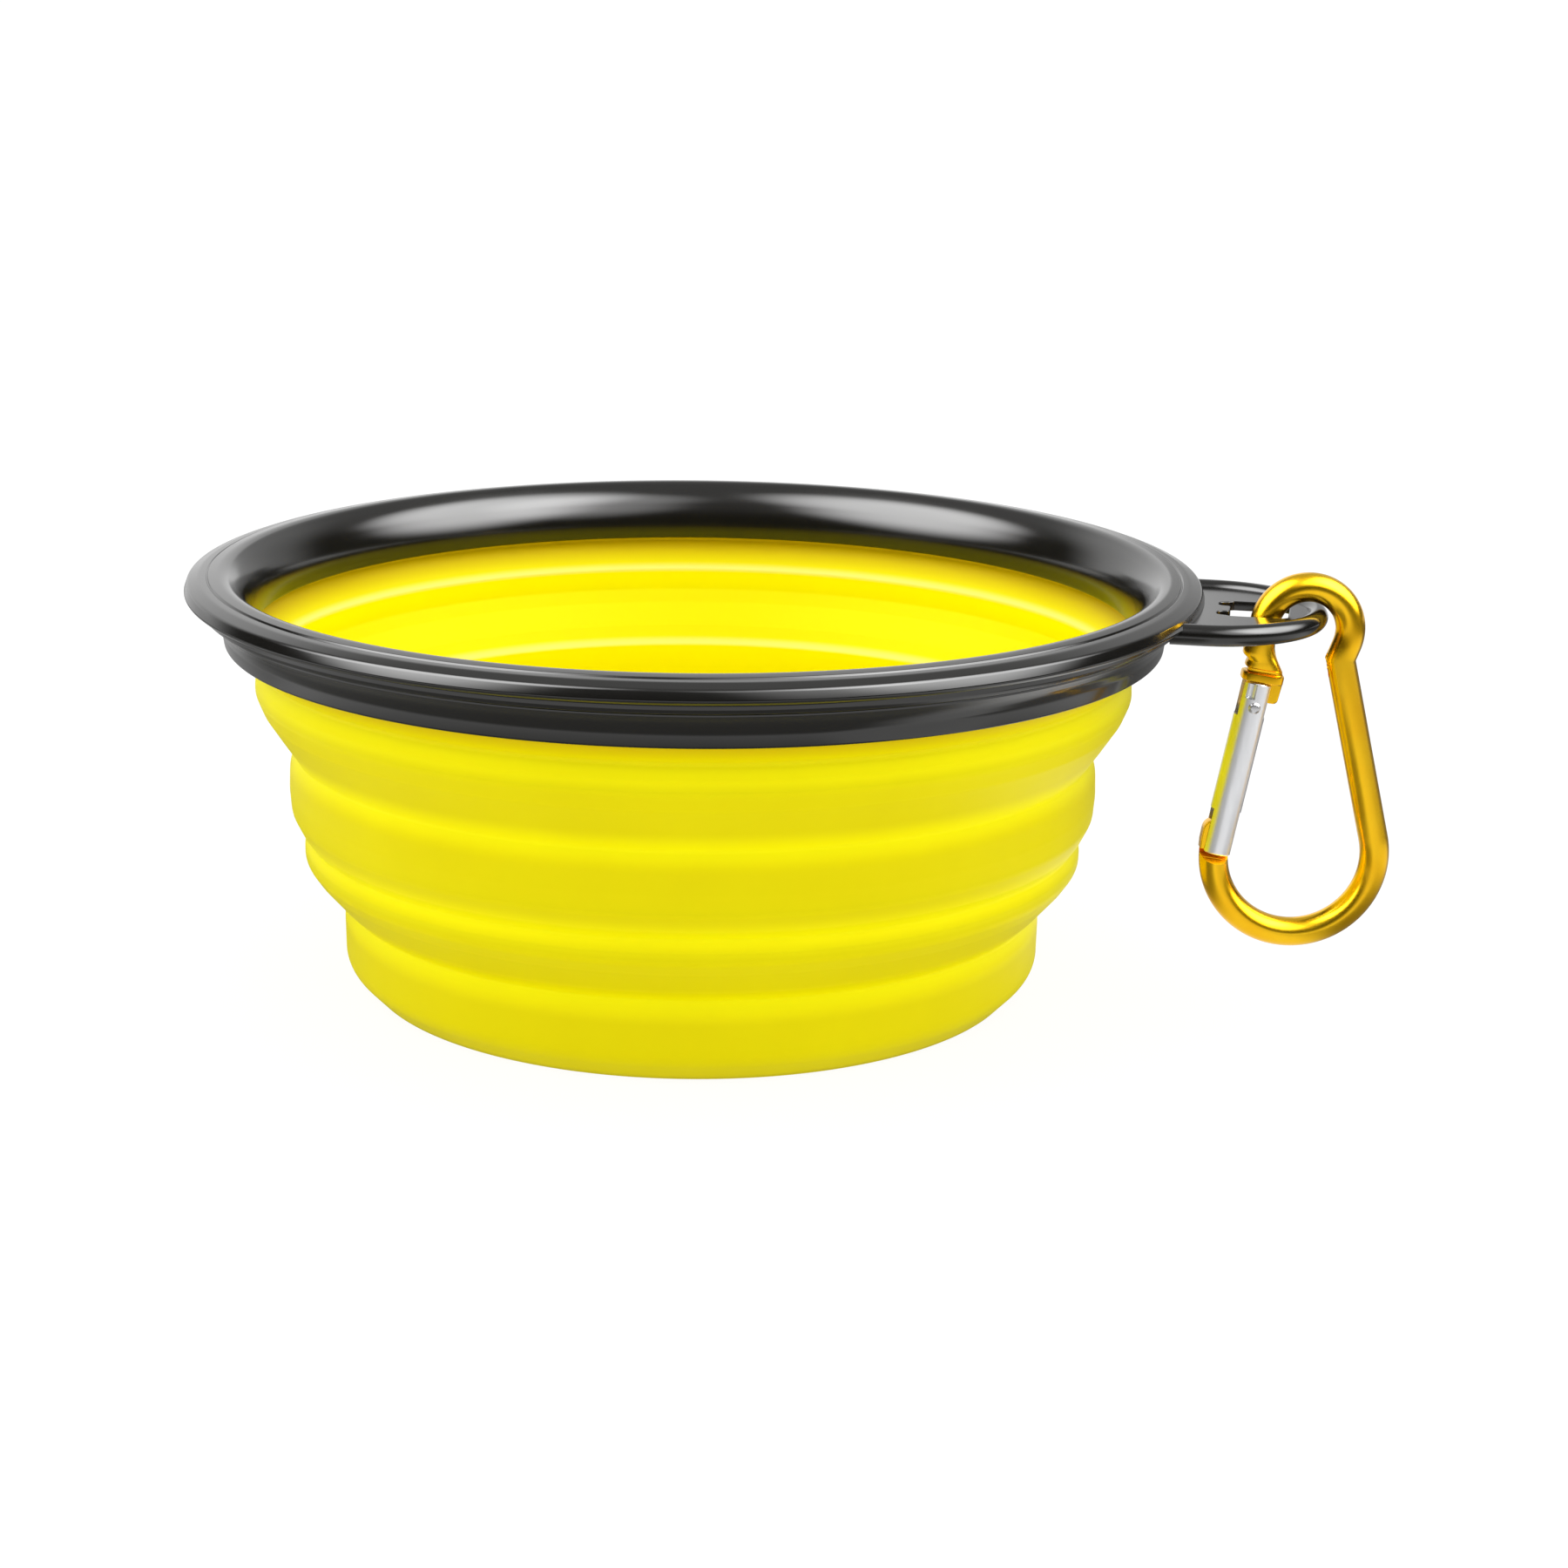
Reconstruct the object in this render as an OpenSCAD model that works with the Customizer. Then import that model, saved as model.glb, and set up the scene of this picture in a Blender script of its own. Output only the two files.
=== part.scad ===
// Collapsible travel bowl: a folding silicone cup held in a two-ring plastic rim,
// with a hanging loop and a small snap carabiner. Millimetres, standing on Z = 0.

/* [Rim] */
// Outside diameter of the rim flange
rim_d = 130; // [120:1:140]
// How far the flange stands out past the lip below it
flange_overhang = 1.8; // [1.2:0.1:3]
// Height of the lip between the flange and the skirt
lip_h = 1.5; // [1:0.1:2]
// Radial step from the lip to the top of the skirt
lip_step = 1.1; // [0.8:0.1:1.6]
// Height of the skirt ring below the seam
skirt_h = 4.5; // [4:0.1:6]
// How much the skirt's radius draws in towards its lower edge
skirt_taper = 2; // [1.5:0.1:2.5]
// Wall of the skirt ring
skirt_t = 1.1; // [0.9:0.05:1.3]
// Wall of the upper ring's inner wall
wall_t = 0.95; // [0.8:0.05:1.2]
// Depth of the upper ring, from its crown to the foot of its inner wall
rim_depth = 7.8; // [7.5:0.1:9.5]
// How much the inner wall opens outwards towards the mouth
mouth_flare = 1.3; // [0.8:0.1:1.6]
// Fall of the flange's top face from its crown to its outer edge
crown_fall = 0.3; // [0.1:0.05:0.6]
// Seam between the two rings
seam_gap = 0.1; // [0.05:0.05:0.2]

/* [Silicone cup] */
// Wall of the folding cup
cup_t = 1.3; // [1:0.05:1.35]
// Floor of the cup
floor_t = 1.8; // [1.2:0.1:3]
// Rounding of the cup's foot, outside
foot_round = 3.2; // [2.5:0.1:4]
// Rounding of the bends between bands and folds
bend_round = 1.5; // [0.8:0.1:1.8]
// Height of the base cup up to its first bend
base_h = 10.4; // [8:0.1:13]
// Height and inward step of the lowest fold
fold_four_h = 6.6; // [5:0.1:8]
fold_four_step = 5; // [4:0.1:6]
// Height of the lower band
lower_band_h = 1.9; // [1.8:0.1:3]
// Height and inward step of the third fold
fold_three_h = 4.3; // [3.5:0.1:5.5]
fold_three_step = 1.7; // [1.7:0.1:2.6]
// Height of the middle band
middle_band_h = 8; // [5:0.1:10]
// Height and inward step of the second fold
fold_two_h = 7.7; // [5.5:0.1:9]
fold_two_step = 4.2; // [3:0.1:5.5]
// Height of the upper band
upper_band_h = 3.9; // [3:0.1:6]
// Height of the first fold, below the rim
fold_one_h = 3.4; // [3:0.1:5]
// Play between the upper band and the rim's inner wall
throat_play = 0.7; // [0.4:0.05:1]
// Thickness of the cup's edge where the rings trap it
edge_t = 0.95; // [0.8:0.05:1.3]
// Radius of the bead along the trapped edge
edge_bead_r = 0.8; // [0.6:0.05:0.9]
// Play on each side of the trapped edge
edge_play = 0.05; // [0.03:0.01:0.1]

/* [Hanging loop] */
// Angle round the rim at which the loop stands, towards the front
loop_turn = 12; // [0:1:20]
// Reach of the loop past the rim's outer edge
loop_reach = 15.2; // [14.5:0.1:18]
// Overall width of the loop
loop_w = 29.7; // [26:0.1:34]
// Thickness of the round bead along the loop's edge
loop_bead_d = 2.65; // [2.4:0.05:2.8]
// Thickness of the flat web inside the bead
web_t = 1.2; // [0.8:0.1:1.4]
// Height of the bead's centre above the seam
loop_rise = 1.5; // [1.45:0.05:1.7]
// Width of the slot in the web
slot_w = 8.6; // [7.5:0.1:10]
// Length of the slot's straight part
slot_len = 7; // [6.5:0.1:8]
// Strip of web and bead left between the slot and the loop's tip
strip_w = 4.8; // [4.4:0.05:4.9]
// Radius of the round notches at the slot's inner end
notch_r = 1.2; // [0.8:0.1:1.4]
// Spread of the two round notches
notch_spread = 5.4; // [4.5:0.1:6]

/* [Carabiner] */
// Diameter of the carabiner's bar
bar_d = 3.65; // [3.5:0.05:3.8]
// Overall length of the carabiner
clip_len = 48.3; // [46:0.1:52]
// Outside diameter of the small hook at the top
hook_d = 14.4; // [14.3:0.05:15]
// Outside width of the large bow at the bottom
bow_w = 23.95; // [23:0.05:26]
// Angle below level at which the hook turns into the spine
hook_end_angle = 20; // [10:1:30]
// Straight run from the hook's end to the kink
kink_run = 2; // [1.5:0.1:2.6]
// Gap between the hook and the loop that carries it
hang_gap = 0.3; // [0.25:0.05:0.4]
// Direction from the hook's centre to the loop's bead, above level
hang_angle = 52; // [45:1:60]
// Length of the round leg from the hook down to the nose
nose_leg = 5.6; // [5:0.1:7]
// Height of the flat band between the nose's shoulder and the gate
nose_band = 1.9; // [1.6:0.1:2.6]
// Width of the flattened nose
nose_w = 5.3; // [4.9:0.1:5.7]
// Thickness of the flat tongues at the nose and the hinge
tongue_t = 1.8; // [1.6:0.05:1.9]
// Play on each side of a tongue between the gate's cheeks
tongue_play = 0.1; // [0.05:0.01:0.15]
// Depth of the gate in the plane of the carabiner
gate_depth = 3.85; // [3.6:0.05:4.1]
// Rounding of the gate's long edges
gate_edge_r = 1.55; // [1.2:0.05:1.6]
// How far the gate's axis sits from the leg's axis, towards the spine
gate_shift = 0.75; // [0.55:0.05:0.9]
// Diameter of the hinge rivet
hinge_pin_d = 1.4; // [1.2:0.05:1.5]
// Diameter of the latch pin in the gate's tip
latch_pin_d = 1.1; // [0.9:0.05:1.2]
// Distance of the latch pin from the gate's tip
latch_inset = 3.1; // [2.8:0.1:3.6]

/* [Gate spring] */
// Diameter of the spring bore in the gate
spring_bore_d = 2.1; // [1.9:0.05:2.2]
// Diameter of the spring wire
wire_d = 0.3; // [0.25:0.01:0.32]
// Turns of the spring
spring_turns = 12; // [8:1:12]

/* [Hidden] */

// Fineness of round things, and of the arcs in the cup's outline
round_fn = 72;
small_fn = 32;
bend_steps = 4;
// Length by which every cut overruns what it cuts
overrun = 1;
// Straight lengths of round bar are this much thinner than the bends they run into
bar_ease = 0.03;
// Length of a straight bar that is buried in a bend
bar_bury = 0.4;
// Share of a straight that one bend may take at either end
bend_share = 0.48;

// Heights, from the floor up
lower_band_z = base_h + fold_four_h;
fold_three_z = lower_band_z + lower_band_h;
middle_band_z = fold_three_z + fold_three_h;
fold_two_z = middle_band_z + middle_band_h;
upper_band_z = fold_two_z + fold_two_h;
fold_one_z = upper_band_z + upper_band_h;
seat_z = fold_one_z + fold_one_h;
// The inner wall's foot sits a little above the seat, and the skirt's edge below it
wall_lift = 0.4;
skirt_drop = 0.6;
wall_foot_z = seat_z + wall_lift;
skirt_foot_z = seat_z - skirt_drop;
seam_z = skirt_foot_z + skirt_h;
crown_z = wall_foot_z + rim_depth;
lip_foot_z = seam_z + seam_gap;
flange_foot_z = lip_foot_z + lip_h;
flange_top_z = crown_z - crown_fall;

// Radii, from the rim inwards
rim_r = rim_d / 2;
lip_r = rim_r - flange_overhang;
skirt_top_r = lip_r - lip_step;
skirt_foot_r = skirt_top_r - skirt_taper;
skirt_foot_in_r = skirt_foot_r - skirt_t;
wall_out_r = skirt_foot_in_r - edge_t - 2 * edge_play;
throat_r = wall_out_r - wall_t;
upper_r = throat_r - throat_play;
middle_r = upper_r - fold_two_step;
lower_r = middle_r - fold_three_step;
base_r = lower_r - fold_four_step;

// Roundings of the rim
flange_top_round = 1.2;
flange_foot_round = 0.7;
crown_round = 1.4;
crown_in = 2.2;
small_round = 0.3;
// The skirt ring's tongue, and the groove above it in the upper ring
rib_t = 0.9;
rib_h = 1.5;
rib_play = 0.1;
rib_inset = 0.25;
// Thickness that the upper ring keeps over its groove and behind its inner wall
ring_skin = 1.5;
wall_root_t = 1.4;

// Places along the height where the cup is divided: the middle of each band's end bends
cut_inset = 0.6;

// The loop
loop_bead_r = loop_bead_d / 2;
loop_z = seam_z + loop_rise;
loop_tip_x = rim_r + loop_reach;
loop_arc_r = loop_w / 2 - loop_bead_r;
loop_arc_x = loop_tip_x - loop_bead_r - loop_arc_r;
slot_end_x = loop_tip_x - strip_w;
slot_corner_r = 1;
notch_reach = 0.3;
loop_root_x = loop_arc_x - 2 * (loop_arc_x - sqrt(lip_r * lip_r - loop_arc_r * loop_arc_r));

// The carabiner, drawn flat with its hook's centre at the origin, Y up
bar_r = bar_d / 2;
hook_r = (hook_d - bar_d) / 2;
bow_r = (bow_w - bar_d) / 2;
centre_gap = clip_len - (hook_d + bow_w) / 2;
lean = asin((bow_r - hook_r) / centre_gap);
leg_len = sqrt(centre_gap * centre_gap - (bow_r - hook_r) * (bow_r - hook_r));
left_dir = [-cos(lean), sin(lean)];
bow_centre = [0, -centre_gap];
hinge_origin = bow_centre + bow_r * left_dir;
// The kink between the hook and the spine
hook_end = hook_r * [cos(hook_end_angle), -sin(hook_end_angle)];
hook_end_dir = [-sin(hook_end_angle), -cos(hook_end_angle)];
kink = hook_end + kink_run * hook_end_dir;
kink_from_bow = kink - bow_centre;
spine_angle = atan2(kink_from_bow[1], kink_from_bow[0]) - acos(bow_r / norm(kink_from_bow));
spine_foot = bow_centre + bow_r * [cos(spine_angle), sin(spine_angle)];
// Where the hook hangs
hang_d = hook_r - bar_r - loop_bead_r - hang_gap;
hook_x = (loop_tip_x - loop_bead_r) * cos(loop_turn) - hang_d * cos(hang_angle);
hook_y = -(loop_tip_x - loop_bead_r) * sin(loop_turn);
hook_z = loop_z - hang_d * sin(hang_angle);

// The gate, in its own frame: origin where the bow's arc ends, Y along the gate,
// +X towards the spine
pivot_y = 0.8;
pivot_x = gate_shift / 2;
heel_y = -1.9;
heel_shoulder_y = -2.8;
heel_gap = 1.5;
head_t = bar_d - 2 * small_round;
tongue_end_y = pivot_y + bar_r + small_round;
web_heel_y = tongue_end_y + heel_gap;
nose_y = leg_len - nose_leg;
tip_y = nose_y - nose_band;
latch_y = tip_y - latch_inset;
web_tip_y = latch_y - 1.2 * latch_pin_d;
cheek_gap = tongue_t + 2 * tongue_play;
pin_play = 0.05;
// The nose: its inner lip, its outer stop and the notch on its outer side
latch_play = 0.15;
lip_end_y = latch_y + latch_pin_d / 2 + latch_play;
stop_end_y = latch_y - latch_pin_d / 2 - latch_play;
nose_out_x = gate_shift - gate_depth / 2 - latch_play;
head_out_x = nose_out_x - 0.2;
nose_in_x = head_out_x + nose_w;
nose_notch = 0.9;
// The spring in its bore
spring_foot_y = web_heel_y + 2;
spring_top_y = web_tip_y - 1.4;
spring_r = (spring_bore_d - wire_d) / 2 - pin_play;
spring_sides = 6;
spring_rings = 8;
rod_head_h = 0.6;

// Outlines

function unit(v) = v / norm(v);

// An arc that rounds corner q between its neighbours p and s
function bend(p, q, s, r) =
    let (a = unit(p - q), b = unit(s - q))
    let (half = acos(max(-1, min(1, a * b))) / 2)
    let (reach = min(r / tan(half), bend_share * min(norm(p - q), norm(s - q))))
    let (rr = reach * tan(half), c = q + unit(a + b) * rr / sin(half))
    let (v0 = q + a * reach - c, v1 = q + b * reach - c)
    let (t0 = atan2(v0[1], v0[0]), t1 = atan2(v1[1], v1[0]))
    let (turn = (t1 - t0 + 540) % 360 - 180)
    [for (i = [0:bend_steps]) let (t = t0 + turn * i / bend_steps) c + rr * [cos(t), sin(t)]];

// A path whose inner corners are rounded, each by its own radius
function rounded_path(path, radii) =
    let (last = len(path) - 1)
    concat(
        [path[0]],
        [for (i = [1:last - 1]) each
            radii[i] > 0 ? bend(path[i - 1], path[i], path[i + 1], radii[i]) : [path[i]]],
        [path[last]]);

// A closed outline, every corner rounded by its own radius
function rounded_loop(path, radii) =
    let (n = len(path))
    [for (i = [0:n - 1]) each
        radii[i] > 0 ? bend(path[(i + n - 1) % n], path[i], path[(i + 1) % n], radii[i])
                     : [path[i]]];

function side_normal(p, q) = let (d = unit(q - p)) [-d[1], d[0]];

// A path moved sideways by t, to the left of its direction
function moved_path(path, t) =
    let (last = len(path) - 1)
    [for (i = [0:last])
        let (n1 = side_normal(path[max(i - 1, 0)], path[max(i, 1)]))
        let (n2 = side_normal(path[min(i, last - 1)], path[min(i + 1, last)]))
        path[i] + t * (n1 + n2) / (1 + n1 * n2)];

function reversed(path) = [for (i = [len(path) - 1:-1:0]) path[i]];

// The cup's wall

// Corners of the cup's outer surface, from the foot to the trapped edge
cup_corners = [
    [base_r, 0], [base_r, base_h],
    [lower_r, lower_band_z], [lower_r, fold_three_z],
    [middle_r, middle_band_z], [middle_r, fold_two_z],
    [upper_r, upper_band_z], [upper_r, fold_one_z],
    [skirt_foot_in_r - edge_play, seat_z],
    [skirt_foot_in_r - edge_play, wall_foot_z],
];
bend_list = [for (i = [0:len(cup_corners) - 1]) bend_round];

module cup_wall_section()
    polygon(concat(
        rounded_path(cup_corners, bend_list),
        reversed(rounded_path(moved_path(cup_corners, cup_t), bend_list))));

// A ring of the cup's wall between two heights
module cup_zone(low, high)
    rotate_extrude($fn = round_fn)
        intersection() {
            cup_wall_section();
            translate([0, low]) square([rim_r, high - low]);
        }

module cup_edge()
    color("gold")
    rotate_extrude($fn = round_fn) {
        r_out = skirt_foot_in_r - edge_play;
        r_in = wall_out_r + edge_play;
        lean_out = skirt_taper / skirt_h * edge_bead_r;
        bead_x = r_in + edge_bead_r + lean_out;
        bead_z = wall_foot_z + 2 * edge_bead_r;
        shoulder_z = wall_foot_z - edge_play;
        intersection() {
            cup_wall_section();
            translate([0, seat_z]) square([rim_r, shoulder_z - seat_z]);
        }
        polygon([
            [r_in, seat_z + wall_lift / 2], [r_out, seat_z + wall_lift / 2],
            [r_out, shoulder_z], [bead_x + edge_t / 2, bead_z],
            [bead_x - edge_t / 2, bead_z], [r_in, shoulder_z]]);
        translate([bead_x, bead_z]) circle(edge_bead_r, $fn = small_fn);
    }

module fold_one() color("gold") cup_zone(fold_one_z - cut_inset, seat_z);

module upper_band() color("yellow") cup_zone(upper_band_z + cut_inset, fold_one_z - cut_inset);

module fold_two() color("gold") cup_zone(fold_two_z - cut_inset, upper_band_z + cut_inset);

module middle_band() color("yellow") cup_zone(middle_band_z + cut_inset, fold_two_z - cut_inset);

module fold_three() color("gold") cup_zone(fold_three_z - cut_inset, middle_band_z + cut_inset);

module lower_band() color("yellow") cup_zone(lower_band_z + cut_inset, fold_three_z - cut_inset);

module fold_four() color("gold") cup_zone(base_h - cut_inset, lower_band_z + cut_inset);

module base_cup()
    color("yellow")
    rotate_extrude($fn = round_fn) {
        in_r = base_r - cup_t;
        in_round = foot_round - cup_t;
        difference() {
            polygon(rounded_loop(
                [[0, 0], [base_r, 0], [base_r, base_h - cut_inset], [0, base_h - cut_inset]],
                [0, foot_round, 0, 0]));
            polygon(rounded_loop(
                [[-overrun, floor_t], [in_r, floor_t], [in_r, base_h + overrun],
                 [-overrun, base_h + overrun]],
                [0, in_round, 0, 0]));
            translate([-overrun, -overrun]) square([overrun, base_h + 2 * overrun]);
        }
    }

// The rim

module top_ring_body()
    rotate_extrude($fn = round_fn)
        difference() {
            polygon(rounded_loop(
                [[throat_r, wall_foot_z],
                 [throat_r + mouth_flare, crown_z - crown_round],
                 [throat_r + crown_in, crown_z],
                 [rim_r, flange_top_z],
                 [rim_r, flange_foot_z],
                 [lip_r, flange_foot_z],
                 [lip_r, lip_foot_z],
                 [wall_out_r + wall_root_t - wall_t, lip_foot_z],
                 [wall_out_r, wall_foot_z]],
                [small_round, crown_round, crown_round, flange_top_round, flange_foot_round,
                 0, small_round, 0, small_round]));
            // Groove for the skirt ring's rib
            groove_r = skirt_top_r - rib_inset;
            translate([groove_r - rib_t - rib_play, lip_foot_z - overrun])
                square([rib_t + 2 * rib_play, rib_h + overrun]);
        }

module skirt_ring()
    color("dimgray")
    rotate_extrude($fn = round_fn) {
        rib_r = skirt_top_r - rib_inset;
        polygon(rounded_loop(
            [[skirt_foot_in_r, skirt_foot_z], [skirt_foot_r, skirt_foot_z],
             [skirt_top_r, seam_z], [rib_r - rib_t, seam_z]],
            [small_round, small_round, 0, 0]));
        translate([rib_r - rib_t, seam_z - small_round])
            square([rib_t, rib_h + small_round]);
    }

module slot_outline() {
    half_w = slot_w / 2;
    translate([slot_end_x - slot_len + slot_corner_r, -half_w])
        square([slot_len - 2 * slot_corner_r, slot_w]);
    translate([slot_end_x - slot_len, -half_w + slot_corner_r])
        square([slot_len, slot_w - 2 * slot_corner_r]);
    for (x = [slot_end_x - slot_len + slot_corner_r, slot_end_x - slot_corner_r],
         y = [-half_w + slot_corner_r, half_w - slot_corner_r])
        translate([x, y]) circle(slot_corner_r, $fn = small_fn);
    for (y = [-notch_spread / 2, notch_spread / 2])
        translate([slot_end_x - slot_len - notch_reach, y]) circle(notch_r, $fn = small_fn);
}

// The round bead and the slotted web
module loop_body()
    difference() {
        union() {
            // Tip of the bead
            translate([loop_arc_x, 0, loop_z])
                rotate([0, 0, -90])
                    rotate_extrude(angle = 180, $fn = round_fn)
                        translate([loop_arc_r, 0]) circle(loop_bead_r, $fn = small_fn);
            // Straight sides of the bead
            for (side = [-1, 1])
                translate([loop_root_x, side * loop_arc_r, loop_z])
                    rotate([0, 90, 0])
                        cylinder(h = loop_arc_x - loop_root_x + bar_bury,
                                 r = loop_bead_r - bar_ease, $fn = small_fn);
            // Flat web
            translate([0, 0, loop_z - web_t / 2])
                linear_extrude(web_t)
                    difference() {
                        union() {
                            translate([loop_arc_x, 0]) circle(loop_arc_r, $fn = round_fn);
                            translate([loop_root_x, -loop_arc_r])
                                square([loop_arc_x - loop_root_x, 2 * loop_arc_r]);
                        }
                        slot_outline();
                    }
        }
        // Everything inside the ring's outer surface, so the loop starts on it
        rotate_extrude($fn = round_fn)
            polygon([
                [0, lip_foot_z - overrun], [lip_r, lip_foot_z - overrun],
                [lip_r, flange_foot_z], [rim_r, flange_foot_z],
                [rim_r, crown_z], [0, crown_z]]);
    }

module rim_top_ring() color("dimgray") top_ring_body();

module hang_loop() color("dimgray") rotate([0, 0, -loop_turn]) loop_body();

// The carabiner

// Turns the flat drawing upright and hangs it on the loop
module hung()
    translate([hook_x, hook_y, hook_z])
        rotate([90, 0, 0])
            children();

// Moves to the gate's frame
module at_gate()
    hung()
        translate([hinge_origin[0], hinge_origin[1], 0])
            rotate([0, 0, -lean])
                children();

// A straight bar from p to q
module bar(p, q) {
    d = q - p;
    translate([p[0], p[1], 0])
        rotate([0, 0, atan2(d[1], d[0]) - 90])
            rotate([-90, 0, 0])
                cylinder(h = norm(d), r = bar_r - bar_ease, $fn = small_fn);
}

// A round bar bent about a centre, from angle a to angle b
module bent_bar(c, r, a, b)
    translate([c[0], c[1], 0])
        rotate([0, 0, a])
            rotate_extrude(angle = b - a, $fn = round_fn)
                translate([r, 0]) circle(bar_r, $fn = small_fn);

// The flat latch that the gate's cheeks close over, with its inner lip and outer stop
module latch_outline()
    polygon(rounded_loop(
        [[nose_out_x, stop_end_y],
         [nose_out_x, nose_y - nose_band / 2],
         [nose_in_x, nose_y - nose_band / 2],
         [nose_in_x, lip_end_y],
         [gate_shift - latch_pin_d / 2 - latch_play, lip_end_y],
         [gate_shift - latch_pin_d / 2 - latch_play, stop_end_y]],
        [small_round, 0, 0, 2 * small_round, small_round, small_round]));

// The wide flat head between the round leg and the gate's tip
module head_outline()
    polygon(rounded_loop(
        [[head_out_x, tip_y + latch_play],
         [head_out_x, nose_y - nose_notch],
         [-bar_r + nose_notch / 2, nose_y],
         [bar_r, nose_y + nose_notch],
         [nose_in_x, nose_y - nose_notch],
         [nose_in_x, tip_y + latch_play]],
        [small_round, small_round, 0, 0, small_round, small_round]));

module carabiner_frame()
    color("goldenrod") {
        half_side = bar_d;
        spine_dir = unit(spine_foot - kink);
        difference() {
            union() {
                hung() {
                    bent_bar([0, 0], hook_r, -hook_end_angle, 180 - lean);
                    bar(hook_end - bar_bury * hook_end_dir, kink);
                    translate([kink[0], kink[1], 0]) sphere(bar_r, $fn = small_fn);
                    bar(kink, spine_foot + bar_bury * spine_dir);
                    bent_bar(bow_centre, bow_r, 180 - lean, 360 + spine_angle);
                }
                // Round leg, its end milled back to the nose
                at_gate()
                    difference() {
                        translate([0, nose_y, 0])
                            rotate([-90, 0, 0])
                                cylinder(h = nose_leg + bar_bury, r = bar_r - bar_ease,
                                         $fn = small_fn);
                        translate([-bar_r, nose_y + nose_notch / 2, 0])
                            rotate([0, 0, 45])
                                cube([nose_notch, nose_notch, 2 * bar_d], center = true);
                    }
                at_gate() {
                    translate([0, 0, -tongue_t / 2])
                        linear_extrude(tongue_t)
                            latch_outline();
                    translate([0, 0, -head_t / 2])
                        linear_extrude(head_t)
                            head_outline();
                }
                // Hinge tongue
                at_gate()
                    translate([0, 0, -tongue_t / 2])
                        linear_extrude(tongue_t) {
                            translate([-bar_r, -bar_bury])
                                square([bar_d, tongue_end_y - bar_r + bar_bury]);
                            translate([0, tongue_end_y - bar_r])
                                circle(bar_r, $fn = round_fn);
                        }
            }
            // Flats beside the hinge tongue
            for (z = [tongue_t / 2, -tongue_t / 2 - bar_d])
                at_gate()
                    translate([-half_side, heel_shoulder_y, z])
                        cube([2 * half_side, bar_d + web_heel_y, bar_d]);
            at_gate()
                translate([pivot_x, pivot_y, -bar_d])
                    cylinder(h = 2 * bar_d, r = hinge_pin_d / 2, $fn = small_fn);
        }
    }

module gate_section() {
    half_d = gate_depth / 2 - gate_edge_r;
    half_w = bar_r - gate_edge_r;
    square([gate_depth, 2 * half_w], center = true);
    square([2 * half_d, bar_d], center = true);
    for (x = [-half_d, half_d], y = [-half_w, half_w])
        translate([x, y]) circle(gate_edge_r, $fn = small_fn);
}

module carabiner_gate()
    color("silver")
    at_gate()
        difference() {
            translate([gate_shift, heel_y, 0])
                rotate([-90, 0, 0])
                    linear_extrude(tip_y - heel_y) gate_section();
            // Slots for the hinge tongue and for the nose
            translate([-gate_depth, heel_y - overrun, -cheek_gap / 2])
                cube([2 * gate_depth, web_heel_y - heel_y + overrun, cheek_gap]);
            translate([-gate_depth, web_tip_y, -cheek_gap / 2])
                cube([2 * gate_depth, tip_y - web_tip_y + overrun, cheek_gap]);
            // Blind bore for the spring
            translate([gate_shift, web_heel_y - overrun, 0])
                rotate([-90, 0, 0])
                    cylinder(h = spring_top_y - web_heel_y + overrun,
                             r = spring_bore_d / 2, $fn = small_fn);
            translate([pivot_x, pivot_y, -bar_d])
                cylinder(h = 2 * bar_d, r = hinge_pin_d / 2 + pin_play, $fn = small_fn);
            translate([gate_shift, latch_y, -bar_d])
                cylinder(h = 2 * bar_d, r = latch_pin_d / 2, $fn = small_fn);
        }

// The rivet ends just below the cheeks' outer faces
module hinge_rivet()
    color("lightgray")
    at_gate()
        translate([pivot_x, pivot_y, -bar_r + pin_play])
            cylinder(h = bar_d - 2 * pin_play, r = hinge_pin_d / 2, $fn = small_fn);

// A pin with a low domed head at each end
module latch_pin()
    color("lightgray")
    at_gate()
        translate([gate_shift, latch_y, 0])
            rotate_extrude($fn = small_fn) {
                pin_r = latch_pin_d / 2;
                head_h = pin_r / 3;
                polygon([
                    [0, -bar_r - head_h], [pin_r / 2, -bar_r - head_h], [pin_r, -bar_r],
                    [pin_r, bar_r], [pin_r / 2, bar_r + head_h], [0, bar_r + head_h]]);
            }

module push_rod()
    color("lightgray")
    at_gate() {
        rod_foot_y = tongue_end_y + hang_gap;
        translate([gate_shift, rod_foot_y, 0])
            rotate([-90, 0, 0])
                cylinder(h = spring_foot_y - rod_foot_y, r = spring_r / 2, $fn = small_fn);
        translate([gate_shift, spring_foot_y - rod_head_h, 0])
            rotate([-90, 0, 0])
                cylinder(h = rod_head_h, r = spring_bore_d / 2 - pin_play, $fn = small_fn);
    }

// The spring: one helical tube of six-sided rings
spring_wire_r = wire_d / 2;
spring_low_y = spring_foot_y + spring_wire_r;
spring_pitch = (spring_top_y - spring_low_y - spring_wire_r) / spring_turns;
spring_count = spring_turns * spring_rings;

function spring_point(i) =
    let (t = 360 * i / spring_rings)
    [gate_shift + spring_r * cos(t), spring_low_y + spring_pitch * i / spring_rings, spring_r * sin(t)];

function spring_ring(i) =
    let (t = 360 * i / spring_rings, c = spring_point(i))
    [for (k = [0:spring_sides - 1])
        let (s = 360 * k / spring_sides)
        c + spring_wire_r * (cos(s) * [cos(t), 0, sin(t)] + sin(s) * [0, 1, 0])];

spring_gap = min([for (i = [spring_rings:spring_count])
    norm(spring_point(i) - spring_point(i - spring_rings)) - wire_d]);
echo(spring_gap = spring_gap);

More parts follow.
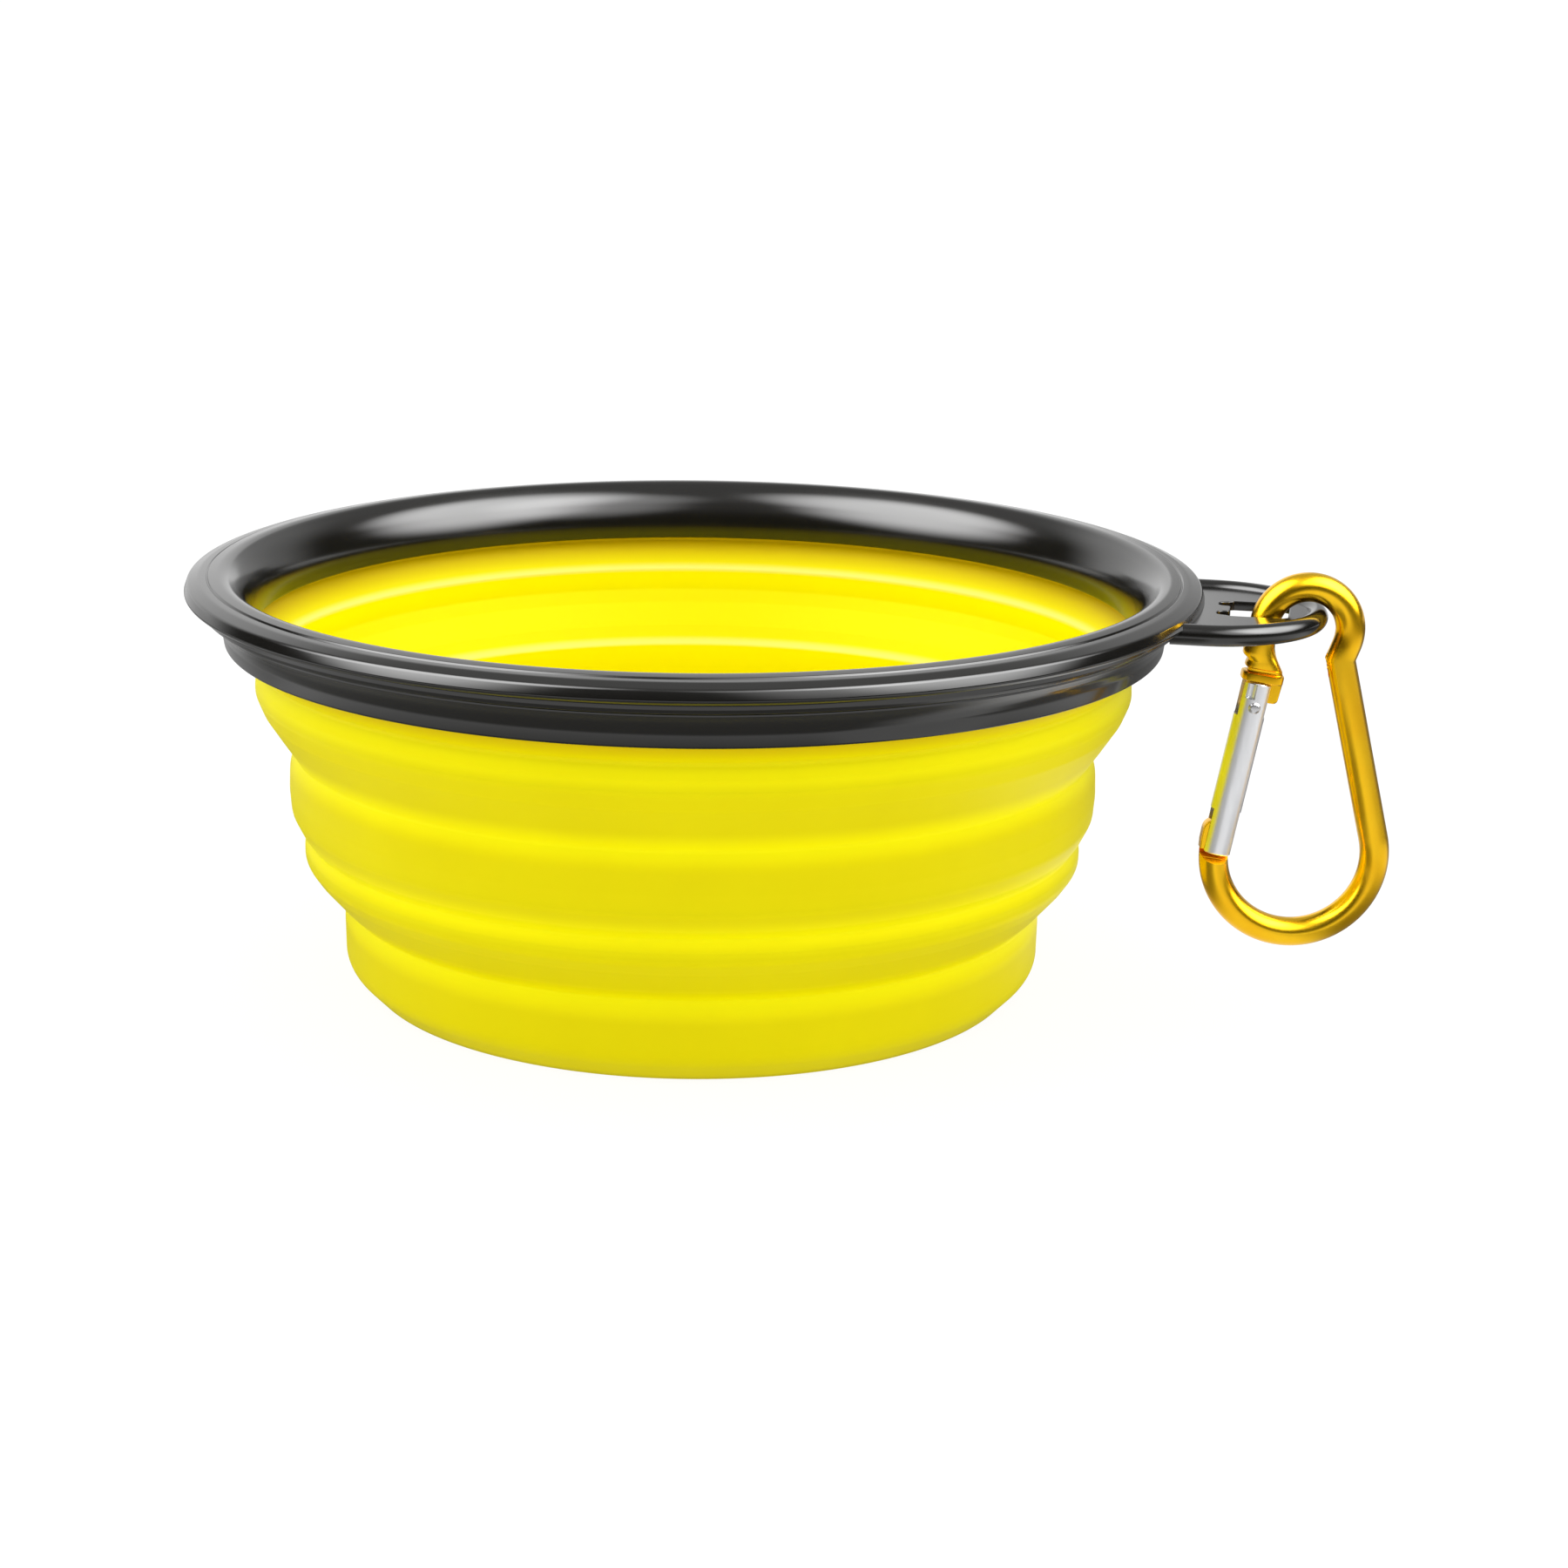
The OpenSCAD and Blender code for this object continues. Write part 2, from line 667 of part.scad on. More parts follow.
module gate_spring()
    color("gray")
    at_gate()
        polyhedron(
            points = [for (i = [0:spring_count]) each spring_ring(i)],
            faces = concat(
                [[for (k = [spring_sides - 1:-1:0]) k]],
                [for (i = [0:spring_count - 1], k = [0:spring_sides - 1])
                    let (a = i * spring_sides + k, b = i * spring_sides + (k + 1) % spring_sides)
                    each [[a, b, b + spring_sides], [a, b + spring_sides, a + spring_sides]]],
                [[for (k = [0:spring_sides - 1]) spring_count * spring_sides + k]]));

rim_top_ring();
skirt_ring();
hang_loop();
cup_edge();
fold_one();
upper_band();
fold_two();
middle_band();
fold_three();
lower_band();
fold_four();
base_cup();
carabiner_frame();
carabiner_gate();
hinge_rivet();
latch_pin();
push_rod();
gate_spring();
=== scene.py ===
"""Looks of a collapsible travel bowl: a folding silicone cup in a two-ring plastic rim, a hanging loop
and a small snap carabiner. Metres, +Z up, seen along +Y. Shapes are drawn in millimetres, which MM turns
into metres; places in the materials and in the studio are in metres."""
import math
import bmesh
import bpy
from mathutils import Matrix, Vector


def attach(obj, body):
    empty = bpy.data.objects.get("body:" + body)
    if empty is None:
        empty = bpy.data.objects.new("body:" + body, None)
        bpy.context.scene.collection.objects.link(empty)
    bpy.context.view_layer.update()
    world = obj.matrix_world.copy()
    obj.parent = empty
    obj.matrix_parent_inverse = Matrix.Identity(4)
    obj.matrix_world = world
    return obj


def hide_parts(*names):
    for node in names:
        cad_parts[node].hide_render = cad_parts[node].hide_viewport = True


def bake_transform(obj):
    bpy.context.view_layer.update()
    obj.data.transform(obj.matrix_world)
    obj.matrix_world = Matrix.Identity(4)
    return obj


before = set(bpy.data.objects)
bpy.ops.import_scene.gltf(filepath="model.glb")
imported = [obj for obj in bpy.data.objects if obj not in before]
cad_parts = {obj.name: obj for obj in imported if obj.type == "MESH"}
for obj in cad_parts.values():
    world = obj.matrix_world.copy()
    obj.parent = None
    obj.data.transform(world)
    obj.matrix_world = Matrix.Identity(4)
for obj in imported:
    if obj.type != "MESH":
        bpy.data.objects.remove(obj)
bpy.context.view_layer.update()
MM = 0.001

# Upper rim ring: flange, mouth and inner wall in one glossy charcoal moulding. Its lip stands on the
# skirt ring; a fine crease runs round the flange where its flat top turns into the rounded outer edge.

def link(name, mesh):
    obj = bpy.data.objects.new(name, mesh)
    bpy.context.scene.collection.objects.link(obj)
    return obj


def finished(obj, body, nodes, mat, sharp=40):
    """Smooth shading up to an angle, the material, and what the piece stands for."""
    for p in obj.data.polygons:
        p.use_smooth = True
    obj.data.set_sharp_from_angle(angle=math.radians(sharp))
    obj.data.materials.clear()
    obj.data.materials.append(mat)
    if body:
        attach(obj, body)
    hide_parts(*nodes)
    return obj


def rounded(points, radii, steps=8, closed=False):
    """A polyline whose corners are rounded, each by its own radius."""
    out = []
    n = len(points)
    for i, q in enumerate(points):
        r = radii[i]
        if r <= 0 or (not closed and i in (0, n - 1)):
            out.append(Vector(q))
            continue
        q = Vector(q)
        a = (Vector(points[i - 1]) - q)
        b = (Vector(points[(i + 1) % n]) - q)
        la, lb = a.length, b.length
        a.normalize()
        b.normalize()
        half = a.angle(b) / 2
        if abs(half - math.pi / 2) < 1e-3:
            out.append(q)
            continue
        reach = min(r / math.tan(half), 0.48 * la, 0.48 * lb)
        rr = reach * math.tan(half)
        c = q + (a + b).normalized() * rr / math.sin(half)
        v0, v1 = q + a * reach - c, q + b * reach - c
        t0, t1 = math.atan2(v0.y, v0.x), math.atan2(v1.y, v1.x)
        turn = (t1 - t0 + 3 * math.pi) % (2 * math.pi) - math.pi
        for k in range(steps + 1):
            t = t0 + turn * k / steps
            out.append(c + rr * Vector((math.cos(t), math.sin(t))))
    return out


def lathe(name, profile, closed=True, segments=256):
    """A ring turned about Z from an outline of (radius, height), in millimetres."""
    bm = bmesh.new()
    rings = []
    for r, z in profile:
        if r < 1e-6:
            rings.append([bm.verts.new((0, 0, z * MM))])
            continue
        rings.append([bm.verts.new((r * MM * math.cos(2 * math.pi * k / segments),
                                    r * MM * math.sin(2 * math.pi * k / segments), z * MM))
                      for k in range(segments)])
    pairs = list(zip(rings, rings[1:] + rings[:1])) if closed else list(zip(rings, rings[1:]))
    for a, b in pairs:
        for k in range(segments):
            j = (k + 1) % segments
            quad = [a[k % len(a)], a[j % len(a)], b[j % len(b)], b[k % len(b)]]
            quad = [v for i, v in enumerate(quad) if v not in quad[:i]]
            if len(quad) > 2:
                bm.faces.new(quad)
    bmesh.ops.recalc_face_normals(bm, faces=bm.faces)
    mesh = bpy.data.meshes.new(name)
    bm.to_mesh(mesh)
    bm.free()
    return link(name, mesh)


# Shader values: a socket that can be added, multiplied and so on, and a material that makes nodes

class Value:
    def __init__(self, tree, out):
        self.tree = tree
        self.out = out

    def maths(self, op, *parts):
        n = self.tree.nodes.new("ShaderNodeMath")
        n.operation = op
        for i, v in enumerate(parts):
            plug(self.tree, v, n.inputs[i])
        return Value(self.tree, n.outputs[0])

    def __add__(self, v):
        return self.maths("ADD", self, v)

    def __radd__(self, v):
        return self.maths("ADD", v, self)

    def __sub__(self, v):
        return self.maths("SUBTRACT", self, v)

    def __rsub__(self, v):
        return self.maths("SUBTRACT", v, self)

    def __mul__(self, v):
        return self.maths("MULTIPLY", self, v)

    def __rmul__(self, v):
        return self.maths("MULTIPLY", v, self)

    def rises(self, low, high):
        """0 at low, 1 at high, smooth between; low may be the larger."""
        n = self.tree.nodes.new("ShaderNodeMapRange")
        n.interpolation_type = "SMOOTHSTEP"
        plug(self.tree, self, n.inputs["Value"])
        n.inputs["From Min"].default_value = low
        n.inputs["From Max"].default_value = high
        return Value(self.tree, n.outputs["Result"])


def plug(tree, value, socket):
    if isinstance(value, Value):
        tree.links.new(value.out, socket)
    else:
        socket.default_value = value


class Surface:
    """A node tree with makers for the nodes that feed its shader."""

    def __init__(self, name, tree=None, **sockets):
        if tree is None:
            self.mat = bpy.data.materials.new(name)
            self.mat.use_nodes = True
            tree = self.mat.node_tree
        self.tree = tree
        self.shader = tree.nodes.get("Principled BSDF")
        self.set(**sockets)

    def set(self, **sockets):
        for key, value in sockets.items():
            plug(self.tree, value, self.shader.inputs[key.replace("_", " ")])

    def node(self, kind, out=0, props=(), **inputs):
        n = self.tree.nodes.new("ShaderNode" + kind)
        for key, value in dict(props).items():
            setattr(n, key, value)
        for key, value in inputs.items():
            plug(self.tree, value, n.inputs[key.replace("_", " ")])
        return Value(self.tree, n.outputs[out])

    def noise(self, scale, detail=4.0, rough=0.55, stretch=(1, 1, 1)):
        at = self.node("Mapping", Vector=self.node("TexCoord", "Object"), Scale=stretch)
        return self.node("TexNoise", "Fac", Vector=at, Scale=scale, Detail=detail, Roughness=rough)

    def height(self):
        return self.node("SeparateXYZ", "Z", Vector=self.node("TexCoord", "Object"))

    def mix(self, fac, a, b):
        n = self.tree.nodes.new("ShaderNodeMix")
        n.data_type = "RGBA"
        plug(self.tree, fac, n.inputs["Factor"])
        for v, s in ((a, n.inputs["A"]), (b, n.inputs["B"])):
            plug(self.tree, v if isinstance(v, Value) else (*v, 1), s)
        return Value(self.tree, n.outputs["Result"])

    def bump(self, height, strength, depth):
        self.set(Normal=self.node("Bump", Height=height, Strength=strength, Distance=depth * MM))


rim_plastic = Surface("rim_plastic", Specular_IOR_Level=0.65)
flow = rim_plastic.noise(180, 3)
scuff = rim_plastic.noise(900, 5, 0.7, (1, 1, 6)).rises(0.60, 0.78)
rim_plastic.set(Base_Color=rim_plastic.mix(flow, (0.0042, 0.0038, 0.0028), (0.0065, 0.0060, 0.0048)),
                Roughness=flow * 0.05 + scuff * 0.08 + 0.12)
rim_plastic.bump(flow * 0.7 + scuff * 0.3, 0.10, 0.02)

top_ring = lathe("rim_top_ring", rounded([
    (56.3, 46.65), (56.55, 49.7), (57.75, 52.7), (60.0, 54.5), (61.85, 54.25), (62.0, 53.95),
    (62.2, 54.1), (63.1, 54.02), (64.55, 53.5), (65.0, 52.2), (64.4, 51.7), (63.3, 51.6),
    (63.2, 50.8), (62.9, 50.3), (62.3, 50.22), (60.2, 50.22), (57.98, 46.75)],
    [0.3, 9, 5, 4, 0.14, 0.1, 0.14, 2, 0.6, 0.35, 0.5, 0.4, 0.6, 0.3, 0.2, 0.1, 0.3], 9, True))
finished(top_ring, "rim", ["rim_top_ring"], rim_plastic.mat, 50)


# Skirt ring: the same plastic, closes the rim from below and clamps the cup's edge against the inner
# wall. It flares out to the seam under the upper ring's lip.
skirt = lathe("skirt_ring", rounded([
    (59.0, 45.6), (60.1, 45.6), (60.35, 47.4), (60.9, 48.7), (62.0, 49.75), (62.05, 50.1), (60.9, 50.1)],
    [0.3, 0.35, 2, 3, 0.15, 0.1, 0.2], 6, True))
finished(skirt, "rim", ["skirt_ring"], rim_plastic.mat, 50)


# Hanging loop: a round bead with a thinner web inside, moulded with the upper ring and slotted for the
# carabiner's hook. It grows out of the flange's lip, twelve degrees towards the front.

def tube(name, path, radius, sides):
    """A round bar swept along a flat path, mitred at its corners; its ends are closed."""
    bm = bmesh.new()
    up = Vector((0, 0, 1))
    rings = []
    n = len(path)
    for i, p in enumerate(path):
        d1 = (path[i] - path[max(i - 1, 0)]) if i else (path[1] - path[0])
        d2 = (path[min(i + 1, n - 1)] - path[i]) if i < n - 1 else d1
        d1, d2 = d1.normalized(), d2.normalized()
        n1, n2 = up.cross(d1), up.cross(d2)
        side = (n1 + n2) / (1 + n1.dot(n2))
        rings.append([bm.verts.new(p + side * radius * math.cos(2 * math.pi * k / sides)
                                   + up * radius * math.sin(2 * math.pi * k / sides)) for k in range(sides)])
    for a, b in zip(rings, rings[1:]):
        for k in range(sides):
            j = (k + 1) % sides
            bm.faces.new((a[k], a[j], b[j], b[k]))
    bm.faces.new(rings[0])
    bm.faces.new(rings[-1])
    bmesh.ops.recalc_face_normals(bm, faces=bm.faces)
    mesh = bpy.data.meshes.new(name)
    bm.to_mesh(mesh)
    bm.free()
    return link(name, mesh)


def plate(name, outline, painted_crease_highlight, bevel=0.15, holes=(), segments=3):
    """A flat plate about Z = 0 from outlines in metres, with its edges rounded."""
    curve = bpy.data.curves.new(name, "CURVE")
    curve.dimensions = "2D"
    curve.fill_mode = "BOTH"
    for loop in [outline, *holes]:
        s = curve.splines.new("POLY")
        s.points.add(len(loop) - 1)
        for k, p in enumerate(loop):
            s.points[k].co = (p[0], p[1], 0, 1)
        s.use_cyclic_u = True
    curve.extrude = painted_crease_highlight / 2 - bevel * MM
    curve.bevel_depth = bevel * MM
    curve.bevel_resolution = segments
    curve.offset = -bevel * MM
    obj = link(name + "_curve", curve)
    bpy.context.view_layer.update()
    mesh = bpy.data.meshes.new_from_object(obj.evaluated_get(bpy.context.evaluated_depsgraph_get()))
    bpy.data.objects.remove(obj)
    return link(name, mesh)


def joined(name, *objs):
    """Several meshes made one object."""
    bm = bmesh.new()
    for o in objs:
        o.data.transform(o.matrix_world)
        bm.from_mesh(o.data)
    mesh = bpy.data.meshes.new(name)
    bm.to_mesh(mesh)
    bm.free()
    for o in objs:
        bpy.data.objects.remove(o)
    return link(name, mesh)


bead_r, arc_r, arc_x, loop_z, turn = 1.325, 13.525, 65.35, 51.6, math.radians(-12)
root_x = 61.74
path = [Vector((root_x, -arc_r, 0))]
path += [Vector((arc_x + arc_r * math.cos(t), arc_r * math.sin(t), 0))
         for t in [math.pi * (k / 64 - 0.5) for k in range(65)]]
path += [Vector((root_x, arc_r, 0))]
bead = tube("loop_bead", [p * MM for p in path], bead_r * MM, 36)
web_edge = [(arc_x + arc_r * math.cos(t), arc_r * math.sin(t))
            for t in [math.pi * (k / 48 - 0.5) for k in range(49)]]
web_edge += [(root_x + 1.4 * math.cos(t) ** 2, arc_r * math.sin(t))
             for t in [math.pi * (0.5 - k / 24) for k in range(25)]]
slot_end, slot_in, half = 75.4, 68.4, 4.3
slot_edge = rounded([(slot_end, -half), (slot_end, half), (slot_in, half), (slot_in - 0.5, 3.9),
                     (slot_in - 1.7, 3.6), (slot_in - 1.7, 1.7), (slot_in - 0.2, 1.5),
                     (slot_in - 0.2, -1.5), (slot_in - 1.7, -1.7), (slot_in - 1.7, -3.6),
                     (slot_in - 0.5, -3.9), (slot_in, -half)],
                    [1, 1, 0.5, 0.3, 0.9, 0.9, 0.4, 0.4, 0.9, 0.9, 0.3, 0.5], 5, True)
web = plate("loop_web", [(x * MM, y * MM) for x, y in web_edge], 1.2 * MM, 0.15,
            [[(p.x * MM, p.y * MM) for p in slot_edge]])
loop = joined("hang_loop", bead, web)
loop.rotation_euler = (0, 0, turn)
loop.location = (0, 0, loop_z * MM)
bpy.context.view_layer.update()
finished(loop, "rim", ["hang_loop"], rim_plastic.mat, 45)


# Cup: one yellow silicone moulding, its edge clamped in the rim. Stiffer bands keep their shape, and the
# thinner folds between them turn inside out as the bowl collapses. Its colour carries painted light: a
# painted highlight round the creases, lighter paint on the inner faces, pale painted highlight lines on two
# inner edges, and painted amber shade by the rim.

def dense(points, step):
    """The same polyline with no stretch longer than step."""
    out = [points[0]]
    for p, q in zip(points, points[1:]):
        n = max(1, math.ceil((q - p).length / step))
        out += [p + (q - p) * k / n for k in range(1, n + 1)]
    return out


def cut_between(line, low, high):
    """The stretch of a rising outline between two heights, with points on both ends."""
    out = []
    for p, q in zip(line, line[1:]):
        if q.y <= low or p.y >= high or q.y - p.y < 1e-6:
            continue
        for y in (max(p.y, low), min(q.y, high)):
            v = p + (q - p) * (y - p.y) / (q.y - p.y)
            if not out or (v - out[-1]).length > 1e-4:
                out.append(v)
    return out


silicone = Surface("cup_silicone", Specular_IOR_Level=0.06, Subsurface_Weight=0.10,
                   Subsurface_Radius=(1.0, 0.7, 0.05), Subsurface_Scale=1.0 * MM)
mottle = silicone.noise(60, 4)
grain = silicone.noise(2600, 3, 0.6)
height = silicone.height()
# Painted shade: from 42 mm up to the rim the wall is painted a darker amber, where the rim shades it.
painted_rim_shade = height.rises(0.0420, 0.0462)
# Partly a random mottle in the tone, mostly painted light: a painted highlight round each of the four
# creases, painted shade on the wall between them.
creases = (0.0104, 0.0202, 0.0313, 0.0414)
painted_crease_highlight = sum(height.rises(z - 0.0030, z) * height.rises(z + 0.0028, z) for z in creases)
tone_and_painted_light = silicone.mix(mottle * 0.3 + painted_crease_highlight * 0.7, (0.76, 0.655, 0.0), (1.0, 0.92, 0.0))
at = silicone.node("TexCoord", "Object")
at_x, at_y = silicone.node("SeparateXYZ", "X", Vector=at), silicone.node("SeparateXYZ", "Y", Vector=at)
out_from_axis = at.maths("SQRT", at_x * at_x + at_y * at_y)
# Painted highlight: thin pale lines along two inner edges of the cup, at about 32 and 42 mm up.
inner_edges = ((0.0508, 0.0323), (0.0550, 0.0424))
painted_ridge_highlight = sum(height.rises(z - 0.0006, z) * height.rises(z + 0.0010, z)
            * out_from_axis.rises(r + 0.0009, r + 0.0005) for r, z in inner_edges)
# Painted light: faces turned towards the axis, the inside of the cup, are painted a lighter yellow.
turned_in = silicone.node("VectorMath", "Value", (("operation", "DOT_PRODUCT"),), Vector=at)
silicone.tree.links.new(silicone.node("TexCoord", "Normal").out, turned_in.out.node.inputs[1])
tone_and_painted_light = silicone.mix(turned_in.rises(0.020, 0.0) * 0.6, tone_and_painted_light, (1.0, 0.93, 0.0))
tone_and_painted_light = silicone.mix(painted_ridge_highlight * 0.8, tone_and_painted_light, (1.0, 0.93, 0.28))
# Base colour: the painted light above, then the painted amber shade by the rim mixed over it.
silicone.set(Base_Color=silicone.mix(painted_rim_shade * 0.85, tone_and_painted_light, (0.62, 0.40, 0.0)),
             Roughness=grain * 0.08 + mottle * 0.05 + 0.32)
silicone.bump(grain, 0.15, 0.02)

outer = rounded([
    (42.5, 0.0), (45.4, 3.0), (45.5, 8.6), (45.0, 10.8), (46.6, 12.2), (49.4, 15.4), (50.5, 17.0),
    (50.5, 18.4), (50.0, 20.0), (51.0, 21.2), (52.1, 23.4), (52.3, 26.0), (52.2, 28.8),
    (51.6, 31.2), (53.4, 33.8), (55.5, 37.0), (56.4, 39.2), (56.3, 40.8), (55.8, 42.8),
    (58.95, 46.15), (58.95, 46.55)],
    [3.2, 3.2, 4, 0.8, 1.6, 2, 1.6, 1.6, 0.8, 1.6, 2.4, 5, 5, 0.8, 2, 2.4, 2.0, 2.4, 0.8, 0.3, 0], 8)
inner = rounded([
    (41.0, 1.8), (44.1, 4.2), (44.1, 10.9), (45.3, 12.9), (48.2, 16.4), (49.1, 17.5), (49.1, 18.6),
    (49.5, 20.2), (50.8, 22.6), (50.8, 32.0), (52.1, 34.6), (54.2, 37.6), (55.0, 39.4),
    (55.0, 42.4), (57.65, 46.15), (57.65, 46.55)],
    [2.0, 2.0, 0.8, 1.2, 1.2, 0.8, 0.8, 1.5, 1.2, 0.7, 1.5, 1.5, 1.2, 0.6, 0.3, 0], 8)


def cup_zone(name, low, high, step, body=None, blend=None):
    """One zone of the cup's wall, both faces and its two cut rims."""
    wall = dense(cut_between(outer, low, high), step)
    wall += list(reversed(dense(cut_between(inner, low, high), step)))
    zone = lathe(name, wall)
    finished(zone, body, [name], silicone.mat, 60)
    if blend:
        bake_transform(zone)
    return zone


edge = lathe("cup_edge", rounded([
    (57.65, 46.2), (58.95, 46.2), (59.0, 46.6), (59.63, 48.0), (59.9, 48.6), (59.3, 49.0),
    (58.5, 48.6), (58.69, 48.0), (58.0, 46.6), (57.65, 46.55)],
    [0, 0, 0.3, 0.3, 0.5, 0.5, 0.5, 0.3, 0.2, 0], 4, True))
finished(edge, "rim", ["cup_edge"], silicone.mat, 60)
cup_zone("fold_one", 42.2, 46.2, 0.4, blend=("rim", "upper"))
cup_zone("upper_band", 39.5, 42.2, 0.6, "upper")
cup_zone("fold_two", 30.6, 39.5, 0.4, blend=("upper", "middle"))
cup_zone("middle_band", 23.8, 30.6, 0.6, "middle")
cup_zone("fold_three", 18.3, 23.8, 0.4, blend=("middle", "lower"))
cup_zone("lower_band", 17.6, 18.3, 0.6, "lower")
cup_zone("fold_four", 9.8, 17.6, 0.4, blend=("lower", "base"))


# Base of the cup: the wall up to the lowest fold, a rounded foot and a thick flat floor, moulded in one
# with the zones above it.
def wall_at(line, z):
    return cut_between(line, z, z + 1)[0]


foot = [v for v in outer if v.y < 9.8] + [wall_at(outer, 9.8)]
bowl = [v for v in inner if v.y < 9.8] + [wall_at(inner, 9.8)]
base = lathe("base_cup", [Vector((0, 0.0)), Vector((20, 0.0)), *dense(foot, 1.0),
                          *reversed(dense(bowl, 1.0)), Vector((20, 1.8)), Vector((0, 1.8))], False)
finished(base, "base", ["base_cup"], silicone.mat, 60)


# Carabiner frame: a drawn aluminium bar, anodised gold, bent to a small hook, a kink, a straight spine
# and a wide bow. Its plane hangs parallel to XZ from the loop. Drawn flat about the hook's centre, then
# stood upright. Flats milled on the bow's end leave the hinge tongue; the nose is pressed to a wide
# flat head with a lip and a stop for the gate's latch pin.

def polar(c, r, deg):
    return Vector((c[0] + r * math.cos(math.radians(deg)), c[1] + r * math.sin(math.radians(deg)), 0))


def along(y, x=0.0, z=0.0):
    """A point in the gate's frame: y along the gate from the bow's end, x towards the spine."""
    left = Vector((-math.cos(lean), math.sin(lean), 0))
    o = Vector((0, -drop, 0)) + left * bow_r
    return o + Vector((math.sin(lean), math.cos(lean), 0)) * y - left * x + Vector((0, 0, z))


def hang(obj, gate=False):
    """From the flat drawing, or from the gate's own frame in it, to where the carabiner hangs."""
    m = Matrix.Translation(centre * MM) @ Matrix.Rotation(math.radians(90), 4, "X")
    if gate:
        m = m @ Matrix.Translation(along(0) * MM) @ Matrix.Rotation(-lean, 4, "Z")
    obj.data.transform(m)
    return obj


def block(low, high):
    """A plain cutter."""
    bm = bmesh.new()
    bmesh.ops.create_cube(bm, size=1)
    for v in bm.verts:
        v.co = Vector([(lo + hi) / 2 + c * (hi - lo) for c, lo, hi in zip(v.co, low, high)]) * MM
    mesh = bpy.data.meshes.new("cutter")
    bm.to_mesh(mesh)
    bm.free()
    return link("cutter", mesh)


def ball(at, r):
    """A round cutter."""
    bm = bmesh.new()
    bmesh.ops.create_uvsphere(bm, u_segments=24, v_segments=16, radius=r * MM)
    bmesh.ops.translate(bm, verts=bm.verts, vec=at)
    mesh = bpy.data.meshes.new("cutter")
    bm.to_mesh(mesh)
    bm.free()
    return link("cutter", mesh)


def carved(obj, *cutters):
    """Cuts the cutters out of the piece."""
    for c in cutters:
        mod = obj.modifiers.new("cut", "BOOLEAN")
        mod.object = c
        mod.operation = "DIFFERENCE"
        mod.solver = "EXACT"
        bpy.context.view_layer.update()
        mesh = bpy.data.meshes.new_from_object(obj.evaluated_get(bpy.context.evaluated_depsgraph_get()))
        obj.modifiers.clear()
        obj.data = mesh
        bpy.data.objects.remove(c)
    return obj


anodised = Surface("gold_aluminium", Metallic=1.0, Coat_Weight=0.15, Coat_Roughness=0.14)
wear = anodised.noise(150, 3, 0.5)
drawn = anodised.noise(1500, 3, 0.6, (1, 1, 0.2))
anodised.set(Base_Color=anodised.mix(wear.rises(0.30, 0.75), (0.92, 0.50, 0.006), (0.97, 0.585, 0.012)),
             Roughness=drawn * 0.06 + wear * 0.05 + 0.20)
anodised.bump(drawn, 0.03, 0.005)

bar = 1.825
hook_r, bow_r, drop, lean = 5.375, 10.15, 29.125, math.radians(9.436)
centre = Vector((75.966, -16.399, 50.083))
hook_end = polar((0, 0), hook_r, -20)
kink = hook_end + Vector((-math.sin(math.radians(20)), -math.cos(math.radians(20)), 0)) * 2
to_kink = kink - Vector((0, -drop, 0))
spine_deg = math.degrees(math.atan2(to_kink.y, to_kink.x) - math.acos(bow_r / to_kink.length))
lean_deg = math.degrees(lean)
leg_len = math.sqrt(drop ** 2 - (bow_r - hook_r) ** 2)
nose_y = leg_len - 5.6
tip_y = nose_y - 1.9
latch_y = tip_y - 3.1
line = [along(nose_y + 3.4)]
line += [polar((0, 0), hook_r, 180 - lean_deg - k * (200 - lean_deg) / 60) for k in range(61)]
line += [kink]
line += [polar((0, -drop), bow_r, spine_deg - k * (spine_deg + 180 + lean_deg - 0.5) / 80)
         for k in range(81)]
frame_bar = tube("frame_bar", [p * MM for p in line], bar * MM, 48)
tongue, pivot_y, heel, shift = 0.9, 0.8, -2.0, 0.75
flats = [block((-4, heel, tongue), (4, 8, 4)), block((-4, heel, -4), (4, 8, -tongue))]
for flat in flats:
    flat.data.transform(Matrix.Translation(along(0) * MM) @ Matrix.Rotation(-lean, 4, "Z"))
facet, facet_back, facet_tilt = block((-4, 0, 0), (4, 4, 4)), 0.5, math.radians(-58)
facet.data.transform(Matrix.Translation(along(0) * MM) @ Matrix.Rotation(-lean, 4, "Z")
                     @ Matrix.Translation(Vector((0, heel - facet_back, bar)) * MM)
                     @ Matrix.Rotation(facet_tilt, 4, "X"))
carved(frame_bar, *flats, facet)
pinch_out, pinch_marks = 0.28, ((6, 0.85), (-24, 0.62), (40, 0.62))
pinch = [ball(polar(kink, bar + pinch_out, spine_deg + 180 + a) * MM, r) for a, r in pinch_marks]
carved(frame_bar, *pinch)
tongue_top = pivot_y + bar + 0.3
hinge_tongue = plate("hinge_tongue", [(q.x * MM, q.y * MM) for q in rounded(
    [(-bar, heel + 1), (bar, heel + 1), (bar, tongue_top), (-bar - 0.1, tongue_top), (-bar - 0.1, 0)],
    [0, 0, 1.6, 1.4, 1], 10, True)], 2 * tongue * MM, 0.12)

